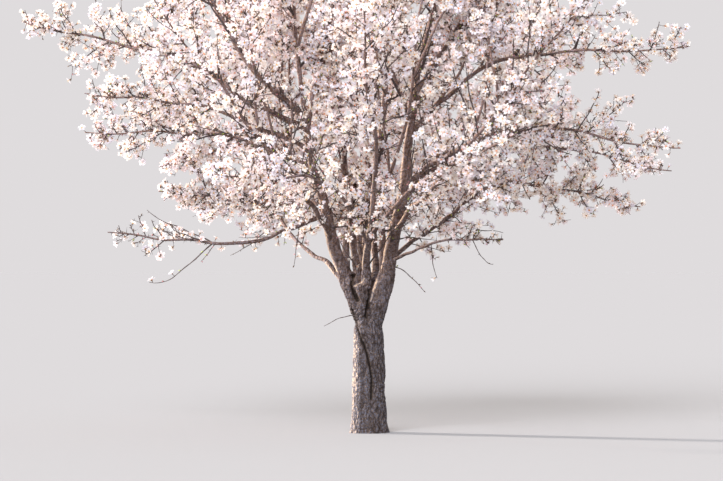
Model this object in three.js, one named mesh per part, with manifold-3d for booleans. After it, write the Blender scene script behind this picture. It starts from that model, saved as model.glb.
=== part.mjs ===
// An almond tree in full blossom, in millimetres. +Z is up, +X runs to the viewer's right and
// +Y away from the viewer. The origin is the middle of the trunk's flat cut at ground level.
import * as THREE from "three";
import { mergeVertices } from "three/addons/utils/BufferGeometryUtils.js";
import Module from "manifold-3d";

const wasm = await Module();
wasm.setup();

// Clear space between one piece of wood and the next, and round a limb for what grows by it.
const GAP = 0.3;
const CLEARANCE = 8;

// The trunk: a column that tapers from the ground to the fork, spreads at its foot into root
// lobes, and ends in one collar for each bough that leaves the fork. Crowding draws its rings
// together towards the ground.
const TRUNK = {
  height: 730,
  radius: 104,
  taper: 0.043,
  flare: 14,
  flareHeight: 70,
  lobes: 5,
  lobeDepth: 0.07,
  lobeTurn: 0.6,
  lean: 12,
  crowding: 1.4,
  heart: [8, 0, 590],
  heartRadius: 62,
  sides: 20,
  steps: 7,
  collar: { sides: 8, steps: 2 },
};

// The leaders: lines of wood that run from a fork to the edge of the crown. Each is a bough, from
// its foot to its tip, and then the stem of the mass of blossom on it, from there to its reach.
// A main bough's foot is a point of the trunk's fork, and a side bough's is a share of the way up
// the bough that it leaves. The radii are the bough's, at its foot and at its tip. Leave is how
// far it still heads the way of the bough it leaves, rise is how far its tip turns upward, and
// full is the share of its tufts that its mass bears.
const main = (foot, radii, tip, reach, rise = 0) => ({ foot, radii, tip, reach, rise, full: 1 });
const side = (from, at, radii, tip, reach, { leave = 0.4, rise = 0, full = 1 } = {}) => {
  return { from, at, radii, tip, reach, leave, rise, full };
};
const LEADERS = {
  right: main([92, -5, 900], [49, 23], [264, -60, 1917], [620, -200, 3780]),
  left: main([-125, 0, 900], [45, 22], [-385, -95, 1915], [-420, -560, 3700], 0.7),
  centre: main([-20, 45, 930], [30, 18], [80, 160, 1857], [200, 180, 4080]),
  centre_left: main([-62, 0, 945], [25, 15], [-163, 60, 1851], [-520, 350, 3850]),
  front: main([-20, -45, 950], [22, 16], [11, -330, 1252], [-40, -1780, 2520]),
  back: main([35, 95, 915], [26, 17], [20, 480, 1310], [230, 1820, 2480]),
  back_left: main([-140, 75, 875], [24, 16], [-424, 400, 1136], [-780, 1560, 2650]),
  back_right: side("right", 0.1, [22, 15], [483, 430, 1290], [1130, 1330, 2750]),
  right_arm: side("right", 0.56, [18, 13], [556, -110, 1705], [1850, -200, 1700]),
  right_high: side("right", 0.86, [19, 14], [544, 60, 2087], [1940, 60, 2330]),
  right_upper: side("right", 0.95, [15, 12], [390, -20, 2185], [1330, 60, 3200]),
  right_back: side("right", 0.48, [16, 12], [498, 300, 1680], [1905, 750, 1600]),
  right_back_low: side("back_right", 0.6, [13, 10], [684, 640, 1457], [1735, 1000, 1380]),
  front_right: side("right", 0.27, [17, 13], [379, -480, 1466], [1250, -1200, 2560]),
  low_right: side("right", 0.12, [11, 8], [361, -260, 1129], [786, -400, 1157], {
    leave: 0.1,
    full: 0.3,
  }),
  left_arm: side("left", 0.91, [20, 14], [-825, -120, 2050], [-2070, -150, 2460], {
    leave: 0.05,
    rise: 0.45,
  }),
  left_mid: side("left", 0.77, [15, 11], [-763, -170, 1863], [-1665, -450, 2010], { rise: 0.1 }),
  left_low: side("left", 0.66, [15, 11], [-648, 120, 1721], [-1770, 600, 1835]),
  left_upper: side("left", 0.95, [26, 17], [-596, -110, 2068], [-1190, -60, 3330]),
  left_back: side("left", 0.45, [16, 12], [-564, 330, 1786], [-1320, 1000, 2780]),
  front_left: side("left", 0.26, [17, 13], [-405, -450, 1438], [-1200, -1230, 2480]),
  low_left: side("left", 0.4, [15, 11], [-709, -330, 1140], [-1520, -550, 1196], {
    leave: 0.1,
    rise: 0.2,
    full: 0.3,
  }),
  left_under: side("left", 0.44, [14, 10], [-500, 230, 1370], [-1290, 330, 1460]),
  centre_back: side("centre", 0.35, [16, 12], [70, 430, 1757], [150, 1050, 3450]),
  front_high: side("front", 0.8, [14, 11], [130, -430, 1560], [380, -950, 3380]),
  front_low_left: side("front", 0.5, [13, 10], [-140, -560, 1370], [-850, -1500, 1500]),
  front_low_right: side("front", 0.62, [13, 10], [170, -600, 1370], [800, -1560, 1720]),
  back_low_left: side("back", 0.5, [13, 10], [-200, 650, 1340], [-1200, 1180, 1400]),
  back_low_right: side("back", 0.7, [13, 10], [190, 700, 1370], [620, 1780, 1600]),
};

// How a leader bends: the share of its length that each end keeps its heading for, how far its
// tip turns up, and how far its wood strays from an even curve, in waves across it and up and down.
const BEND = { start: 0.35, end: 0.3, lift: 0.2, crook: 0.012, waveAcross: 9, waveUp: 14 };

// A bough's flat sides and pieces: one that leaves the trunk, and one that leaves another bough.
const BOUGH = { main: [8, 6], side: [5, 4] };

// A mass of blossom: its stem, the side twigs, and the tufts that each stand for a spray of
// flowers, larger than life, with the stretch of wood that bears them.
const STEM = { tipRadius: 6.5, sides: 4, steps: 5 };
const TWIG = {
  count: 6,
  first: 0.1,
  last: 0.95,
  root: 0.6,
  tipRadius: 4.5,
  sides: 3,
  steps: 2,
  spread: 0.42,
  longest: 600,
  shortening: { level: 0.85, upright: 0.5 },
  unevenness: 0.2,
  straying: 0.5,
  forward: 0.7,
  lift: 0.15,
  cuts: [1, 0.75, 0.5],
  checks: { points: 8, skipped: 2 },
};
const TURN = THREE.MathUtils.degToRad(137.5);
const TUFT = {
  radius: 128,
  petals: 4,
  rise: 110,
  cup: 16,
  smallest: 0.8,
  slimming: 0.3,
  apart: 1.3,
  onTwig: { count: 2, first: 0.1, last: 0.98 },
  onStem: { count: 4, first: 0.05, last: 0.99 },
  lowest: 1040,
};

// What keeps one leader's chances apart from the next one's, for its stem and for its twigs, and
// a tuft's size from whether it grows at all.
const SEED = { stem: 100, twig: 50, tuft: 10, bare: 20 };

const WOOD = new THREE.MeshStandardMaterial({ color: 0x6a5c58, roughness: 0.9, metalness: 0 });
const BLOSSOM = new THREE.MeshStandardMaterial({ color: 0xf4e9ea, roughness: 0.7, metalness: 0 });
const UP = new THREE.Vector3(0, 0, 1);

// An even spread of numbers from 0 to 1, the same for the same three whole numbers.
function chance(a, b, c) {
  const wave = Math.sin(a * 12.9898 + b * 78.233 + c * 37.719) * 43758.5453;
  return wave - Math.floor(wave);
}

// A cubic curve that leaves its first point along one heading and reaches its last along another,
// with a slight crook in two waves across it.
class Limb extends THREE.Curve {
  constructor(start, end, startHeading, endHeading, seed) {
    super();
    const reach = start.distanceTo(end);
    this.bow = new THREE.CubicBezierCurve3(
      start,
      start.clone().addScaledVector(startHeading, reach * BEND.start),
      end.clone().addScaledVector(endHeading, -reach * BEND.end),
      end,
    );
    const way = end.clone().sub(start).normalize();
    this.crook = reach * BEND.crook;
    this.across = way.cross(sideways(startHeading));
    this.phase = chance(seed, 1, 1) * Math.PI * 2;
  }

  getPoint(t, target = new THREE.Vector3()) {
    const settle = Math.sin(Math.PI * t) ** 2 * this.crook;
    this.bow.getPoint(t, target);
    target.addScaledVector(this.across, settle * Math.sin(BEND.waveAcross * t + this.phase));
    return target.addScaledVector(UP, settle * Math.sin(BEND.waveUp * t + this.phase * 2));
  }
}

// A level direction across a heading, or the one that stands in for it on an upright limb.
function sideways(heading) {
  const level = Math.abs(heading.x) > 0.7 ? new THREE.Vector3(0, 1, 0) : new THREE.Vector3(1, 0, 0);
  return level.cross(heading).normalize();
}

// A run of wood along a curve: straight pieces between even rings, tapering from foot to tip.
class Wood {
  constructor(curve, radii, sides, steps) {
    Object.assign(this, { curve, radii, sides, steps });
    this.points = curve.getSpacedPoints(steps);
    this.frames = curve.computeFrenetFrames(steps, false);
  }

  radiusAt(t) {
    return THREE.MathUtils.lerp(this.radii[0], this.radii[1], t);
  }

  // The piece that a share of the length falls in, and the share of that piece before it.
  pieceAt(t) {
    const piece = Math.min(this.steps - 1, Math.floor(t * this.steps));
    return [piece, t * this.steps - piece];
  }

  pointAt(t) {
    const [piece, share] = this.pieceAt(t);
    return this.points[piece].clone().lerp(this.points[piece + 1], share);
  }

  headingAt(t) {
    const [piece] = this.pieceAt(t);
    return this.points[piece + 1].clone().sub(this.points[piece]).normalize();
  }

  // Straight out of one of the flat sides, at right angles to the wood.
  sideAt(t, side) {
    const [piece] = this.pieceAt(t);
    const angle = ((side + 0.5) / this.sides) * Math.PI * 2;
    const out = this.across(piece, Math.sin(angle), Math.cos(angle));
    return out.addScaledVector(this.headingAt(t), -out.dot(this.headingAt(t))).normalize();
  }

  across(ring, x, z) {
    const out = this.frames.normals[ring].clone().multiplyScalar(x);
    return out.addScaledVector(this.frames.binormals[ring], -z);
  }

  // The closed tube: a cylinder whose rings are carried onto the curve at their own radius, all
  // of them wider by the padding.
  geometry(padding = 0) {
    const geometry = new THREE.CylinderGeometry(1, 1, 1, this.sides, this.steps);
    const position = geometry.getAttribute("position");
    for (let i = 0; i < position.count; i++) {
      const t = position.getY(i) + 0.5;
      const ring = Math.round(t * this.steps);
      const point = this.across(ring, position.getX(i), position.getZ(i));
      point.multiplyScalar(this.radiusAt(t) + padding).add(this.points[ring]);
      position.setXYZ(i, point.x, point.y, point.z);
    }
    return geometry;
  }

  // Its straight pieces, for measuring how near something comes.
  get run() {
    return this.points.slice(1).map((point, i) => ({
      line: new THREE.Line3(this.points[i], point),
      radius: this.radiusAt(i / this.steps),
    }));
  }
}

// A geometry as a solid that can be joined and cut.
function solid(geometry) {
  const bare = new THREE.BufferGeometry();
  bare.setAttribute("position", geometry.getAttribute("position"));
  bare.setIndex(geometry.getIndex());
  const merged = mergeVertices(bare, 1e-3);
  const vertProperties = merged.getAttribute("position").array;
  const triVerts = new Uint32Array(merged.getIndex().array);
  return new wasm.Manifold(new wasm.Mesh({ numProp: 3, vertProperties, triVerts }));
}

// The largest body of a solid, which leaves out loose scraps and fills sealed hollows.
function whole(made) {
  return made.decompose().reduce((best, body) => (body.volume() > best.volume() ? body : best));
}

// A solid back as a named mesh.
function mesh(name, made, material) {
  const { vertProperties, triVerts } = made.getMesh();
  const geometry = new THREE.BufferGeometry();
  geometry.setAttribute("position", new THREE.BufferAttribute(new Float32Array(vertProperties), 3));
  geometry.setIndex(new THREE.BufferAttribute(new Uint32Array(triVerts), 1));
  geometry.computeVertexNormals();
  const result = new THREE.Mesh(geometry, material);
  result.name = name;
  return result;
}

// The bough and the stem of every leader, in order, so that a bough finds the one that it leaves.
function growLeaders() {
  const grown = [];
  for (const [name, spec] of Object.entries(LEADERS)) {
    const parent = grown.find((leader) => leader.name === spec.from);
    const foot = parent ? parent.bough.pointAt(spec.at) : new THREE.Vector3(...spec.foot);
    const tip = new THREE.Vector3(...spec.tip);
    const reach = new THREE.Vector3(...spec.reach);
    const way = tip.clone().sub(foot).normalize();
    const leaving = parent
      ? parent.bough.headingAt(spec.at).lerp(way, 1 - spec.leave).normalize()
      : foot.clone().sub(new THREE.Vector3(...TRUNK.heart)).normalize();
    const seed = grown.length + 1;
    const arriving = way.clone().addScaledVector(UP, spec.rise).normalize();
    const curve = new Limb(foot, tip, leaving, arriving, seed);
    const bough = new Wood(curve, spec.radii, ...(parent ? BOUGH.side : BOUGH.main));
    const heading = curve.getTangentAt(1);
    const start = tip.clone().addScaledVector(heading, GAP);
    const end = reach.clone().sub(tip).normalize();
    end.addScaledVector(UP, BEND.lift * end.z).normalize();
    const onward = new Limb(start, reach, heading, end, seed + SEED.stem);
    const stem = new Wood(onward, [spec.radii[1], STEM.tipRadius], STEM.sides, STEM.steps);
    const steepness = Math.max(0, reach.clone().sub(tip).normalize().z);
    const runs = { boughRun: bough.run, stemRun: stem.run };
    grown.push({ name, seed, bough, stem, ...runs, steepness, full: spec.full, main: !parent });
  }
  return grown;
}

// The trunk's column, with its flare and root lobes, joined to the collars under the boughs.
function makeTrunk(leaders) {
  const { height, radius, taper, flare, flareHeight, lean, crowding } = TRUNK;
  const column = new THREE.CylinderGeometry(1, 1, 1, TRUNK.sides, TRUNK.steps).rotateX(Math.PI / 2);
  const position = column.getAttribute("position");
  for (let i = 0; i < position.count; i++) {
    const z = height * (position.getZ(i) + 0.5) ** crowding;
    const angle = Math.atan2(position.getY(i), position.getX(i));
    const out = Math.hypot(position.getX(i), position.getY(i));
    const wave = Math.cos(TRUNK.lobes * angle + TRUNK.lobeTurn);
    const lobe = 1 + TRUNK.lobeDepth * wave * Math.exp(-z / (2 * flareHeight));
    const r = out * lobe * (radius - taper * z + flare * Math.exp(-z / flareHeight));
    position.setXYZ(i, r * Math.cos(angle) + (lean * z) / height, r * Math.sin(angle), z);
  }
  const heart = new THREE.Vector3(...TRUNK.heart);
  let made = solid(column);
  for (const { bough } of leaders.filter((leader) => leader.main)) {
    const foot = bough.points[0];
    const end = foot.clone().addScaledVector(foot.clone().sub(heart).normalize(), -GAP);
    const radii = [(TRUNK.heartRadius + bough.radii[0]) / 2, bough.radii[0]];
    const { sides, steps } = TRUNK.collar;
    const collar = new Wood(new THREE.LineCurve3(heart, end), radii, sides, steps);
    made = made.add(solid(collar.geometry()));
  }
  return whole(made);
}

// A bough, cut clear of the wood that it leaves and of its neighbours at the fork.
function makeBough({ bough }, others) {
  return whole(others.reduce((left, other) => left.subtract(other), solid(bough.geometry())));
}

// A tuft of blossom: a shallow cup on a point that is sunk in the middle of the twig under it.
function tuft({ foot, heading, size }) {
  const geometry = new THREE.SphereGeometry(1, TUFT.petals, 2).rotateX(Math.PI / 2);
  const position = geometry.getAttribute("position");
  const turn = new THREE.Quaternion().setFromUnitVectors(UP, heading);
  for (let i = 0; i < position.count; i++) {
    const z = position.getZ(i);
    const rim = Math.abs(z) < 0.5;
    const out = rim ? TUFT.radius : 0;
    const rise = rim ? TUFT.rise : z > 0 ? TUFT.rise + TUFT.cup : 0;
    const point = new THREE.Vector3(position.getX(i) * out, position.getY(i) * out, rise);
    point.multiplyScalar(size).applyQuaternion(turn).add(foot);
    position.setXYZ(i, point.x, point.y, point.z);
  }
  return geometry;
}

const nearest = new THREE.Vector3();
const gapTo = (point, { line }) => line.closestPointToPoint(point, true, nearest).distanceTo(point);
const distance = (point, run) => Math.min(...run.map((piece) => gapTo(point, piece)));

// Whether a point belongs to a leader's own space, nearer to its stem than to any other leader,
// and stands clear of the wood of every bough.
function inSpace(point, leader, leaders) {
  const own = distance(point, leader.stemRun);
  return leaders.every((other) => {
    if (other.boughRun.some((piece) => gapTo(point, piece) < piece.radius + CLEARANCE)) return false;
    return other === leader || distance(point, [...other.stemRun, ...other.boughRun]) > own + CLEARANCE;
  });
}

// The side twigs of a stem: they turn round it by the golden angle, lean out and up, and grow
// shorter towards its tip, most of all on a level one. One that would leave the mass's space is
// shorter, or is skipped.
function twigsOf(leader, leaders) {
  const { stem, seed } = leader;
  const { level, upright } = TWIG.shortening;
  const shortening = THREE.MathUtils.lerp(level, upright, leader.steepness);
  const twigs = [];
  for (let j = 0; j < TWIG.count; j++) {
    const share = (j + 0.5 + TWIG.straying * (chance(seed, j, 2) - 0.5)) / TWIG.count;
    const t = TWIG.first + (TWIG.last - TWIG.first) * share;
    const heading = stem.headingAt(t);
    const turn = j * TURN + chance(seed, 0, 3) * Math.PI * 2;
    const leaving = sideways(heading).applyAxisAngle(heading, turn);
    leaving.addScaledVector(heading, TWIG.forward).addScaledVector(UP, TWIG.lift).normalize();
    const bent = leaving.clone().addScaledVector(UP, TWIG.lift).normalize();
    const foot = stem.pointAt(t);
    const spread = Math.min(TWIG.longest, stem.curve.getLength() * TWIG.spread);
    const uneven = 1 + TWIG.unevenness * (2 * chance(seed, j, 4) - 1);
    const longest = spread * (1 - shortening * t) * uneven;
    for (const cut of TWIG.cuts) {
      const end = foot.clone().addScaledVector(leaving, longest * cut);
      const curve = new Limb(foot, end, leaving, bent, seed * SEED.twig + j);
      const walk = curve.getSpacedPoints(TWIG.checks.points).slice(TWIG.checks.skipped);
      if (!walk.every((point) => inSpace(point, leader, leaders))) continue;
      const radii = [stem.radiusAt(t) * TWIG.root, TWIG.tipRadius];
      twigs.push(new Wood(curve, radii, TWIG.sides, TWIG.steps));
      break;
    }
  }
  return twigs;
}

// The tufts along a mass's stem and twigs, smaller towards the end of a level arm. Each faces
// straight out of its wood, from the first side of it on which it stands in the mass's space,
// clear of other tufts and wood.
function tuftsOf(leader, leaders, woods) {
  const tufts = [];
  woods.forEach((wood, j) => {
    const others = woods.filter((other) => other !== wood).flatMap((other) => other.run);
    const { count, first, last } = wood === leader.stem ? TUFT.onStem : TUFT.onTwig;
    for (let k = 0; k < count; k++) {
      if (chance(leader.seed, j, SEED.bare + k) > leader.full) continue;
      const t = last + ((first - last) * k) / count;
      const foot = wood.pointAt(t);
      const whim = TUFT.smallest + (1 - TUFT.smallest) * chance(leader.seed, j, SEED.tuft + k);
      const size = whim * (1 - TUFT.slimming * (1 - leader.steepness) * t);
      const reach = TUFT.radius * size;
      for (let side = 0; side < wood.sides; side++) {
        const heading = wood.sideAt(t, side + j + k);
        const middle = foot.clone().addScaledVector(heading, TUFT.rise * size);
        if (tufts.some((other) => other.middle.distanceTo(middle) < reach * TUFT.apart)) continue;
        if (distance(middle, others) < reach) continue;
        const made = { foot, heading, size, middle };
        const position = tuft(made).getAttribute("position");
        const corners = Array.from({ length: position.count }, (_, i) =>
          new THREE.Vector3().fromBufferAttribute(position, i),
        ).filter((corner) => corner.distanceTo(foot) > 1);
        if (corners.some((corner) => corner.z < TUFT.lowest)) continue;
        if (!corners.every((corner) => inSpace(corner, leader, leaders))) continue;
        tufts.push(made);
        break;
      }
    }
  });
  return tufts;
}

// A mass of blossom: the stem that carries a bough on, its side twigs and their tufts.
function makeMass(leader, leaders, limbs) {
  const woods = [leader.stem, ...twigsOf(leader, leaders)];
  const tufts = tuftsOf(leader, leaders, woods);
  const parts = [...woods.map((wood) => wood.geometry()), ...tufts.map(tuft)].map(solid);
  const made = parts.reduce((sum, part) => sum.add(part));
  return whole(limbs.reduce((left, limb) => left.subtract(limb), made));
}

const tree = new THREE.Group();
const leaders = growLeaders();
tree.add(mesh("trunk", makeTrunk(leaders), WOOD));

const padded = [];
for (const leader of leaders) {
  tree.add(mesh("bough_" + leader.name, makeBough(leader, padded), WOOD));
  leader.padded = solid(leader.bough.geometry(GAP));
  padded.push(leader.padded);
}
for (const leader of leaders) {
  const limbs = leaders.filter((other) => other !== leader).map((other) => other.padded);
  tree.add(mesh("blossom_" + leader.name, makeMass(leader, leaders, limbs), BLOSSOM));
}

export default tree;
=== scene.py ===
import bmesh
import bpy
import numpy as np
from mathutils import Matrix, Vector


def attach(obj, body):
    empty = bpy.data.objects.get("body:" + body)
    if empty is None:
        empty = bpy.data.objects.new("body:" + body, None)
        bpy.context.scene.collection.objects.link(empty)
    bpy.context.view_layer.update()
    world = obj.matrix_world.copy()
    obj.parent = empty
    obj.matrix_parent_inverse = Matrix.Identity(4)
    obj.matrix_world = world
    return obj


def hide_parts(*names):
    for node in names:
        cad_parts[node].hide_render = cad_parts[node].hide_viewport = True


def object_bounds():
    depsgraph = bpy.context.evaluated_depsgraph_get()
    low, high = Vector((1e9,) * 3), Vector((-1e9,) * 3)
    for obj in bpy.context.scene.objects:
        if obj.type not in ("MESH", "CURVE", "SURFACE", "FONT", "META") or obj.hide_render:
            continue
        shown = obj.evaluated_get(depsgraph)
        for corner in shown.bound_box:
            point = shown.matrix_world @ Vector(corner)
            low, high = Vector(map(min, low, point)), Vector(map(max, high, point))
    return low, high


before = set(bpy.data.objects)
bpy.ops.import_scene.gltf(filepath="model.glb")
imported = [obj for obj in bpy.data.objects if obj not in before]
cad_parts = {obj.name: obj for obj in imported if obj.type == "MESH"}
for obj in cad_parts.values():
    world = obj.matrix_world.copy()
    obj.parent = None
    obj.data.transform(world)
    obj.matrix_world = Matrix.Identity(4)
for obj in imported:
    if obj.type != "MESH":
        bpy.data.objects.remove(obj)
cad_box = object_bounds()

# The trunk and its fork: one skin of furrowed, flaking grey-brown bark over a column that spreads
# a little at its foot, and over the collars under the boughs. Column, collars and an old stub are
# closed shapes drawn into one skin, smoothed, and carved with furrows, a crack and a pruning cut.
TRUNK_HEIGHT = 0.73
TRUNK_RADIUS = 0.104
TRUNK_TAPER = 0.016
TRUNK_LEAN = -0.002
TRUNK_RINGS = 30
RINGS_CROWD_LOW = 1.4
TRUNK_SIDES = 48
BELOW_CUT = 0.03
SHOULDER = 0.56
PINCH = 0.45
FLARE = 0.014
FLARE_HEIGHT = 0.07
LOBES = 5
LOBE_DEPTH = 0.07
LOBE_TURN = 0.6
HEART = np.array([0.008, 0.0, 0.590])
COLLAR_SIDES = 20
COLLAR_RINGS = 14
COLLAR_REACH = 16
COLLAR_INWARD = 0.95
COLLAR_SWELL = (0.014, 0.002)
COLLAR_TAPER = 0.16
STUB = ((-0.028, -0.030, 0.70), (-0.056, -0.072, 0.885))
STUB_RADII = (0.040, 0.029)
STUB_RINGS = 10
SKIN_SIZE = 0.0042
SKIN_EASE = 0.5
SKIN_ROUNDS = 14
LUMP_HEIGHT = 0.010
LUMP_GRAIN = 14.0
FURROW_DEPTH = 0.0065
FURROW_GRAIN = [78.0, 78.0, 34.0]
PLATE_GRAIN = [95.0, 95.0, 60.0]
FURROW_STEEP = 2.4
FURROW_ROUND = 0.7
PLATE_STEEP = 3
PLATE_SHARES = (0.55, 0.45)
STRAY_GRAIN = 13.0
STRAY = [0.03, 0.03, 0.02]
FACING_FRONT = 0.1
CRACK = ((-0.102, 0.734), (-0.066, 0.608), (-0.030, 0.524), (-0.003, 0.439), (0.018, 0.331))
CRACK += ((0.016, 0.205),)
CRACK_WIDTH = 0.007
CRACK_DEPTH = 0.014
CREASES = (
    ((0.008, 0.850), (0.005, 0.800), (-0.006, 0.745), (-0.018, 0.698)),
    ((-0.092, 0.945), (-0.099, 0.895), (-0.090, 0.840), (-0.074, 0.790)),
)
CREASE_WIDTH = 0.009
CREASE_DEPTH = 0.020
SCAR = ((-0.130, 0.912), (0.015, 0.024))
SCAR_DEPTH = 0.004
SCAR_EDGE = 14
SCAR_LEFT_OF = -0.05
LIP_HEIGHT = 0.006
LIP_AT = 1.15
LIP_WIDTH = 0.25
FAR_OFF = 9.0
RIDGE_FROM = np.radians(-178)
RIDGE_TURN = np.radians(-120)
RIDGE_WIDTH = np.radians(9)
RIDGE_HEIGHT = 0.013
RIDGE_TOP = 0.62
RIDGE_FADE = 0.03
# Painted sunlight: the trunk's side that faces the sun gets extra relief, which the bark draws paler:
# where it faces round the wood, how wide, how much, and the grain that breaks it up.
SUNLIT_TURN = np.radians(-162)
SUNLIT_WIDTH = np.radians(37)
PAINTED_SUN = 0.68
PAINTED_SUN_GRAIN = [60.0, 60.0, 12.0]
PALE_SCAR = 1.2
# Painted shade: how much darker the crack and the creases are drawn.
CREASE_PAINTED_SHADE = 0.7
# Painted highlights: pale relief along the stub's rim and the right limb's foot, where the sun catches
# them.
SUNLIT_RIMS = (
    ((-0.092, 0.878), (-0.066, 0.890), (-0.040, 0.903), (-0.028, 0.925)),
    ((0.010, 0.790), (0.020, 0.830), (0.036, 0.879), (0.047, 0.915)),
)
SUNLIT_RIM_WIDTH = 0.006
RIM_HIGHLIGHT = 1.7

# Each leader is a line of wood from a fork to the edge of the crown. Its bough is the bare limb as
# far as its tip, and its stem carries it on from there through the blossom to its reach. A main
# bough's foot is a point of the fork, and a side bough's a share of the way up the one it leaves.
UP = np.array([0.0, 0.0, 1.0])
HANDLES = (0.35, 0.3)
LIFT = 0.2
CROOK = 0.012
WAVE_ACROSS = 9.0
WAVE_UP = 14.0
DRAWN = 200
BOUGH_RINGS = 100
STEM_RINGS = 60
STEM_SEED = 100


def side(parent, at, radii, tip, reach, leave=0.4, rise=0.0, full=1.0):
    """A leader from a share of the way up another's bough, which still heads that way as far as
    leave says. Rise is how far its tip turns upward, and full is its share of flowers."""
    places = dict(start=parent, at=at, tip=tip, reach=reach)
    return dict(places, radii=radii, leave=leave, rise=rise, full=full)


def main(foot, radii, tip, reach, rise=0.0):
    """A leader from a point of the trunk's fork."""
    return side(foot, None, radii, tip, reach, rise=rise)


LEADERS = {
    "right": main((0.092, -0.005, 0.9), (0.049, 0.023), (0.264, -0.06, 1.917), (0.62, -0.2, 3.78)),
    "left": main((-0.125, 0.0, 0.9), (0.045, 0.016), (-0.385, -0.095, 1.915), (-0.42, -0.56, 3.7), 0.7),
    "centre": main((-0.02, 0.045, 0.93), (0.03, 0.018), (0.08, 0.16, 1.857), (0.2, 0.18, 4.08)),
    "centre_left": main((-0.062, 0, 0.945), (0.025, 0.015), (-0.163, 0.06, 1.851), (-0.52, 0.35, 3.85)),
    "front": main((-0.02, -0.045, 0.95), (0.022, 0.016), (0.011, -0.33, 1.252), (-0.04, -1.78, 2.52)),
    "back": main((0.035, 0.095, 0.915), (0.026, 0.017), (0.02, 0.48, 1.31), (0.23, 1.82, 2.48)),
    "back_left": main((-0.14, 0.075, 0.875), (0.018, 0.012), (-0.424, 0.4, 1.136), (-0.78, 1.56, 2.65)),
    "back_right": side("right", 0.1, (0.016, 0.010), (0.483, 0.43, 1.29), (1.13, 1.33, 2.75)),
    "right_arm": side("right", 0.56, (0.018, 0.013), (0.556, -0.11, 1.705), (1.85, -0.2, 1.7)),
    "right_high": side("right", 0.86, (0.019, 0.014), (0.544, 0.06, 2.087), (1.94, 0.06, 2.33)),
    "right_upper": side("right", 0.95, (0.015, 0.012), (0.39, -0.02, 2.185), (1.33, 0.06, 3.2)),
    "right_back": side("right", 0.48, (0.016, 0.012), (0.498, 0.3, 1.68), (1.905, 0.75, 1.6)),
    "right_back_low": side("back_right", 0.6, (0.013, 0.01), (0.684, 0.64, 1.457), (1.735, 1.0, 1.38)),
    "front_right": side("right", 0.27, (0.017, 0.013), (0.379, -0.48, 1.466), (1.25, -1.2, 2.56)),
    "low_right": side(
        "right", 0.12, (0.011, 0.008), (0.361, -0.26, 1.129), (0.786, -0.4, 1.157), 0.1, full=0.3
    ),
    "left_arm": side(
        "left", 0.91, (0.020, 0.014), (-0.825, -0.12, 2.05), (-2.07, -0.15, 2.46), 0.05, rise=0.45
    ),
    "left_mid": side(
        "left", 0.77, (0.015, 0.011), (-0.763, -0.17, 1.863), (-1.665, -0.45, 2.01), rise=0.1
    ),
    "left_low": side("left", 0.66, (0.015, 0.011), (-0.648, 0.12, 1.721), (-1.77, 0.6, 1.835)),
    "left_upper": side("left", 0.95, (0.026, 0.017), (-0.596, -0.11, 2.068), (-1.19, -0.06, 3.33)),
    "left_back": side("left", 0.45, (0.016, 0.012), (-0.564, 0.33, 1.786), (-1.32, 1.0, 2.78)),
    "front_left": side("left", 0.26, (0.017, 0.013), (-0.405, -0.45, 1.438), (-1.2, -1.23, 2.48)),
    "low_left": side(
        "left", 0.4, (0.015, 0.011), (-0.709, -0.33, 1.14), (-1.52, -0.55, 1.196), 0.1, 0.2, full=0.3
    ),
    "left_under": side("left", 0.44, (0.014, 0.010), (-0.5, 0.23, 1.37), (-1.29, 0.33, 1.46)),
    "centre_back": side("centre", 0.35, (0.016, 0.012), (0.07, 0.43, 1.757), (0.15, 1.05, 3.45)),
    "front_high": side("front", 0.8, (0.014, 0.011), (0.13, -0.43, 1.56), (0.38, -0.95, 3.38)),
    "front_low_left": side("front", 0.5, (0.013, 0.01), (-0.14, -0.56, 1.37), (-0.85, -1.5, 1.5)),
    "front_low_right": side("front", 0.62, (0.013, 0.01), (0.17, -0.6, 1.37), (0.8, -1.56, 1.72)),
    "back_low_left": side("back", 0.5, (0.013, 0.01), (-0.2, 0.65, 1.34), (-1.2, 1.18, 1.4)),
    "back_low_right": side("back", 0.7, (0.013, 0.01), (0.19, 0.7, 1.37), (0.62, 1.78, 1.6)),
}


def chance(a, b, c):
    """An even spread of numbers from 0 to 1: what follows the point in a large, fast sine wave of
    three whole numbers, so that the same three always give the same one."""
    wave = np.sin(a * 12.9898 + b * 78.233 + c * 37.719) * 43758.5453
    return wave - np.floor(wave)


def unit(vectors):
    """The vectors, each divided by its own length."""
    return vectors / np.linalg.norm(vectors, axis=-1, keepdims=True)


def sideways(heading):
    """Across a heading, and level where it can be: the cross product of a level direction with it."""
    level = np.where(np.abs(heading[..., :1]) > 0.7, [0.0, 1.0, 0.0], [1.0, 0.0, 0.0])
    return unit(np.cross(level, heading))


def limbs(start, end, leaving, arriving, seed, pieces):
    """Many limbs at once. Each is a cubic curve that leaves its start along one heading and reaches
    its end along another, with a crook in it: the square of a half sine wave along the limb, times
    one wave across it and one up and down."""
    t = np.linspace(0, 1, pieces + 1)[None, :, None]
    start, end, leaving, arriving = (each[:, None, :] for each in (start, end, leaving, arriving))
    reach = np.linalg.norm(end - start, axis=-1, keepdims=True)
    first = start + leaving * reach * HANDLES[0]
    second = end - arriving * reach * HANDLES[1]
    bow = (1 - t) ** 3 * start + 3 * (1 - t) ** 2 * t * first + 3 * (1 - t) * t**2 * second + t**3 * end
    across = np.cross(unit(end - start), sideways(leaving))
    phase = (chance(seed, 1, 1) * 2 * np.pi)[:, None, None]
    settle = np.sin(np.pi * t) ** 2 * reach * CROOK
    wave = np.sin(WAVE_ACROSS * t + phase) * across + np.sin(WAVE_UP * t + 2 * phase) * UP
    return bow + settle * wave


def evenly(line, pieces):
    """A line of points, drawn again with its points at even shares of its running length."""
    run = np.concatenate([[0.0], np.cumsum(np.linalg.norm(np.diff(line, axis=0), axis=1))])
    at = np.linspace(0, run[-1], pieces + 1)
    return np.stack([np.interp(at, run, line[:, axis]) for axis in range(3)], axis=1)


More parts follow.
